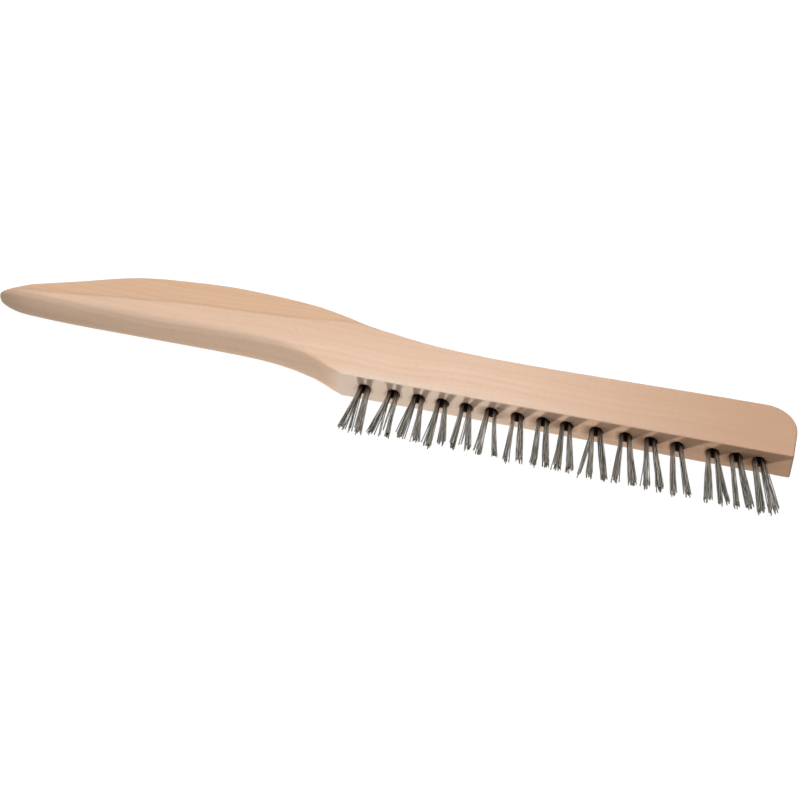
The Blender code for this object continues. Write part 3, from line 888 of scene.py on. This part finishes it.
def wire_tree():
    """Geometry nodes for one tuft: wires folded in two, fanned from the hole to their cut tips."""
    tree = bpy.data.node_groups.new("folded_wire_tuft", "GeometryNodeTree")
    for kind, names in WIRE_SOCKETS.items():
        for name in names:
            tree.interface.new_socket(name=name, in_out="INPUT", socket_type=kind)
    tree.interface.new_socket(name="Geometry", in_out="OUTPUT", socket_type="NodeSocketGeometry")
    given = add_node(tree, "NodeGroupInput").outputs
    known = {name: given[name] for names in WIRE_SOCKETS.values() for name in names}

    line = add_node(tree, "GeometryNodeCurvePrimitiveLine").outputs[0]
    stepped = {"Curve": line, "Count": WIRE_STEPS + 1}
    line = add_node(tree, "GeometryNodeResampleCurve", {"mode": "COUNT"}, stepped).outputs[0]
    several = {"Geometry": line, "Amount": given["Wires"]}
    copies = add_node(tree, "GeometryNodeDuplicateElements", {"domain": "SPLINE"}, several)
    numbered = add_node(
        tree,
        "GeometryNodeStoreNamedAttribute",
        {"data_type": "INT", "domain": "CURVE"},
        {"Geometry": copies.outputs[0], "Name": "wire", "Value": copies.outputs[1]},
    ).outputs[0]
    known["wire"] = add_node(
        tree, "GeometryNodeInputNamedAttribute", {"data_type": "INT"}, {"Name": "wire"}
    ).outputs[0]
    known["factor"] = add_node(tree, "GeometryNodeSplineParameter").outputs["Factor"]
    for result, operation, *operands in WIRE_FORMULA:
        values = [known.get(value, value) for value in operands]
        if operation == "RANDOM":
            drawn = {2: values[0], 3: values[1], "Seed": values[2], "ID": known["leg"]}
            known[result] = add_node(
                tree, "FunctionNodeRandomValue", {"data_type": "FLOAT"}, drawn
            ).outputs[1]
        else:
            known[result] = add_node(
                tree, "ShaderNodeMath", {"operation": operation}, dict(enumerate(values))
            ).outputs[0]
    axes = {axis: known[axis.lower()] for axis in "XYZ"}
    place = add_node(tree, "ShaderNodeCombineXYZ", inputs=axes).outputs[0]
    moved = {"Geometry": numbered, "Position": place}
    bent = add_node(tree, "GeometryNodeSetPosition", inputs=moved).outputs[0]
    thick = {"Resolution": WIRE_SIDES, "Radius": given["Wire Radius"]}
    circle = add_node(
        tree, "GeometryNodeCurvePrimitiveCircle", {"mode": "RADIUS"}, thick
    ).outputs[0]
    swept = {"Curve": bent, "Profile Curve": circle, "Fill Caps": True}
    solid = add_node(tree, "GeometryNodeCurveToMesh", inputs=swept).outputs[0]
    real = add_node(tree, "GeometryNodeRealizeInstances", inputs={"Geometry": solid}).outputs[0]
    painted = add_node(
        tree, "GeometryNodeSetMaterial", inputs={"Geometry": real, "Material": given["Steel"]}
    ).outputs[0]
    add_node(tree, "NodeGroupOutput", inputs={"Geometry": painted})
    return tree


WOOD_SHARP_ANGLE = math.radians(32)
WIRE_SHARP_ANGLE = math.radians(80)
STAPLE_SHADE = 0.55


def finished_mesh(obj):
    """The object's evaluated shape as a plain mesh of its own; the modifiers go."""
    bpy.context.view_layer.update()
    graph = bpy.context.evaluated_depsgraph_get()
    mesh = bpy.data.meshes.new_from_object(obj.evaluated_get(graph))
    obj.modifiers.clear()
    obj.data = mesh
    mesh.name = obj.name
    return mesh


class BRUSH_OT_wood_handle(bpy.types.Operator):
    """Builds the beech handle block with its sanded edges and drilled holes"""

    bl_idname = "brush.wood_handle"
    bl_label = "Build Wood Handle"

    def execute(self, context):
        sizes, wires = context.scene.brush_handle, context.scene.brush_wires
        finish = context.scene.brush_finish
        bm = bmesh.new()
        skin(bm, block_rings(sizes))
        handle = new_solid("beech_handle", bm, beech(finish))
        guide = hole_cutter(sizes, wires, scorched_beech(finish))
        cut = handle.modifiers.new("drilled_holes", "BOOLEAN")
        cut.operation = "DIFFERENCE"
        cut.solver = "EXACT"
        cut.material_mode = "TRANSFER"
        cut.object = guide
        mesh = finished_mesh(handle)
        bpy.data.objects.remove(guide, do_unlink=True)
        mark_block(mesh, sizes, wires)
        mesh.shade_smooth()
        mesh.set_sharp_from_angle(angle=WOOD_SHARP_ANGLE)
        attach(handle, BODY)
        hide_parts(BLOCK_NODE)
        return {"FINISHED"}


class BRUSH_OT_wire_tufts(bpy.types.Operator):
    """Builds the sixteen tufts of folded steel wire with geometry nodes"""

    bl_idname = "brush.wire_tufts"
    bl_label = "Build Wire Tufts"

    def execute(self, context):
        wires, finish = context.scene.brush_wires, context.scene.brush_finish
        tree = wire_tree()
        keys = {item.name: item.identifier for item in tree.interface.items_tree}
        tones = finish.wire_steel, finish.wire_scale, finish.wire_root_shade
        steel = drawn_wire("oil_tempered_steel_wire", *tones, roughness=0.42, patch=0.5)
        shared = {
            "Wires": wires.wires,
            "Wire Radius": wires.wire_diameter / 2,
            "Fold Depth": wires.fold_depth,
            "Leg Inner": wires.leg_inner,
            "Leg Outer": wires.leg_outer,
            "Leg Half Width": wires.leg_half_width,
            "Tip Half Depth": wires.tip_half_depth,
            "Unevenness": wires.unevenness,
            "Steel": steel,
        }
        for index, (*bends, share, leg, stray_tip) in enumerate(TUFT_BENDS):
            name = f"steel_wires_{index + 1:02d}"
            tuft = bpy.data.objects.new(name, bpy.data.meshes.new(name))
            context.scene.collection.objects.link(tuft)
            fan = tuft.modifiers.new("fan", "NODES")
            fan.node_group = tree
            own = {label: mm * MM for label, mm in zip(BEND_SOCKETS, (*bends, stray_tip))}
            own |= {"Stray Share": share, "Stray Leg": float(leg)}
            own["Seed"] = wires.seed + SEED_STEP * index
            for label, value in (shared | own).items():
                fan[keys[label]] = value
            mesh = finished_mesh(tuft)
            mesh.transform(tuft_place(wires, index))
            mesh.shade_smooth()
            mesh.set_sharp_from_angle(angle=WIRE_SHARP_ANGLE)
            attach(tuft, BODY)
            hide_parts(TUFT_NODES[index])
        return {"FINISHED"}


class BRUSH_OT_staples(bpy.types.Operator):
    """Gives the staples their drawn-wire finish; their shapes are the packed ones"""

    bl_idname = "brush.staples"
    bl_label = "Finish Staples"

    def execute(self, context):
        finish = context.scene.brush_finish
        bright = finish.staple_steel
        dark = [c * STAPLE_SHADE for c in bright]
        # Inside the hole the staples take the dark tone as painted shade too.
        tones = bright, dark, dark
        steel = drawn_wire("bright_drawn_staple_wire", *tones, roughness=0.3, patch=0.3)
        for name in STAPLE_NODES:
            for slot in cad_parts[name].material_slots:
                slot.material = steel
        return {"FINISHED"}


def soft_light(name, place, aim, size, power, tint):
    """A square softbox at a place, turned to an aim."""
    data = bpy.data.lights.new(name, "AREA")
    data.shape = "SQUARE"
    data.size = size
    data.energy = power
    data.color = tint
    lamp = bpy.data.objects.new(name, data)
    lamp.location = place
    lamp.rotation_euler = (Vector(aim) - Vector(place)).to_track_quat("-Z", "Y").to_euler()
    # Only the softboxes may mirror in the steel: the bare lamp would glint on the cut wires.
    lamp.visible_glossy = name.endswith("softbox")
    bpy.context.scene.collection.objects.link(lamp)


def lit_opal_sheet(finish):
    """An opal acrylic sheet lit from behind: even white, with no shadow or mirror image on it."""
    made = new_material("lit_opal_acrylic")
    shader = add_node(
        made.node_tree,
        "ShaderNodeBsdfPrincipled",
        inputs={
            "Base Color": (*finish.light_table, 1),
            "Roughness": 0.9,
            "Emission Color": (1, 1, 1, 1),
            "Emission Strength": SHEET_GLOW,
        },
    )
    add_node(made.node_tree, "ShaderNodeOutputMaterial", inputs={"Surface": shader.outputs[0]})
    return made


ROOM_RADIUS = 3.0
ROOM_SIDES = 48
FLOOR_GAP = 0.1 * MM
SHEET_GLOW = 0.96
WORLD_STRENGTH = 0.1
WHITE = (1.0, 1.0, 1.0)
WARM = (1.0, 0.94, 0.87)
# Lights: (name, place, aim, size, watts, tint). The low lamp shines up through the sheet.
SOFT_LIGHTS = (
    ("back_softbox", (0, 0.514, 0.613), (0, 0, 0), 0.5, 1.6, WHITE),
    ("top_softbox", (0, 0, 0.8), (0, 0, 0), 0.5, 2.9, WHITE),
    ("near_top_softbox", (0.02, 0.12, 0.32), (0.02, 0, 0), 0.2, 0.295, WHITE),
    ("left_softbox", (-0.6, 0.05, 0.1), (0, 0, 0), 0.25, 0.65, WHITE),
    ("front_softbox", (0.1, -0.6, 0.08), (0, 0, 0), 0.3, 0.64, WARM),
    ("low_lamp", (-0.004, -0.17, -0.104), (0.03, 0, 0.005), 0.022, 0.225, WHITE),
)
CAMERA_AZIMUTH = math.radians(15.0)
CAMERA_ELEVATION = math.radians(45.91)
CAMERA_ROLL = math.radians(-0.44)
CAMERA_DISTANCE = 0.55
CAMERA_LENS_MM = 80.6
CAMERA_AIM = Vector((0.00793, -0.00456, 0.0))


class BRUSH_OT_stage(bpy.types.Operator):
    """Adds the pale floor, the soft lights, the world and the camera"""

    bl_idname = "brush.stage"
    bl_label = "Set Stage"

    def execute(self, context):
        scene = context.scene
        sheet = lit_opal_sheet(scene.brush_finish)
        turns = [math.tau * i / ROOM_SIDES for i in range(ROOM_SIDES)]
        low, high = [
            [(ROOM_RADIUS * math.cos(turn), ROOM_RADIUS * math.sin(turn), z) for turn in turns]
            for z in (-FLOOR_GAP, ROOM_RADIUS)
        ]
        walls = [
            (i, (i + 1) % ROOM_SIDES, ROOM_SIDES + (i + 1) % ROOM_SIDES, ROOM_SIDES + i)
            for i in range(ROOM_SIDES)
        ]
        for name, points, faces in (
            ("light_table", low, [tuple(range(ROOM_SIDES))]),
            ("backdrop", low + high, walls),
        ):
            mesh = bpy.data.meshes.new(name)
            mesh.from_pydata(points, [], faces)
            mesh.materials.append(sheet)
            board = bpy.data.objects.new(name, mesh)
            scene.collection.objects.link(board)
            # The sheet lets the low lamp's rays through, as opal glass does, and its own glow
            # doesn't reach the brush, whose underside keeps its shade.
            board.visible_shadow = False
            board.visible_diffuse = False
            board.visible_glossy = name == "light_table"
        for light in SOFT_LIGHTS:
            soft_light(*light)
        world = bpy.data.worlds.new("studio")
        scene.world = world
        world.use_nodes = True
        air = world.node_tree.nodes["Background"].inputs
        air["Color"].default_value = (1, 1, 1, 1)
        air["Strength"].default_value = WORLD_STRENGTH
        # White sheet and pale wood keep the values they are given.
        scene.view_settings.view_transform = "Standard"
        camera_data = bpy.data.cameras.new("camera")
        camera_data.lens = CAMERA_LENS_MM
        camera_data.sensor_width = 36
        camera_data.clip_start = 0.01
        camera_data.clip_end = 20
        camera = bpy.data.objects.new("camera", camera_data)
        camera.matrix_world = (
            Matrix.Translation(CAMERA_AIM)
            @ Matrix.Rotation(CAMERA_AZIMUTH, 4, "Z")
            @ Matrix.Rotation(math.pi / 2 - CAMERA_ELEVATION, 4, "X")
            @ Matrix.Rotation(CAMERA_ROLL, 4, "Z")
            @ Matrix.Translation((0, 0, CAMERA_DISTANCE))
        )
        scene.collection.objects.link(camera)
        scene.camera = camera
        return {"FINISHED"}


class BRUSH_PT_panel(bpy.types.Panel):
    """Sizes, finishes and build steps of the brush"""

    bl_idname = "BRUSH_PT_panel"
    bl_label = "Wire Scratch Brush"
    bl_space_type = "VIEW_3D"
    bl_region_type = "UI"
    bl_category = "Brush"

    def draw(self, context):
        for operator in OPERATORS:
            self.layout.operator(operator.bl_idname)
        for name, group in SETTINGS.items():
            box = self.layout.box()
            box.label(text=group.__doc__)
            for key in group.__annotations__:
                box.prop(getattr(context.scene, name), key)


OPERATORS = (BRUSH_OT_wood_handle, BRUSH_OT_wire_tufts, BRUSH_OT_staples, BRUSH_OT_stage)
SETTINGS = {
    "brush_handle": BrushHandleSettings,
    "brush_wires": BrushWireSettings,
    "brush_finish": BrushFinishSettings,
}
CLASSES = (*SETTINGS.values(), *OPERATORS, BRUSH_PT_panel)


def register():
    for made in CLASSES:
        bpy.utils.register_class(made)
    for name, group in SETTINGS.items():
        setattr(bpy.types.Scene, name, PointerProperty(type=group))


def unregister():
    for name in SETTINGS:
        delattr(bpy.types.Scene, name)
    for made in reversed(CLASSES):
        bpy.utils.unregister_class(made)


def main():
    register()
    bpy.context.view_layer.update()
    bpy.ops.brush.wood_handle()
    bpy.ops.brush.wire_tufts()
    bpy.ops.brush.staples()
    bpy.ops.brush.stage()


if __name__ == "__main__":
    main()
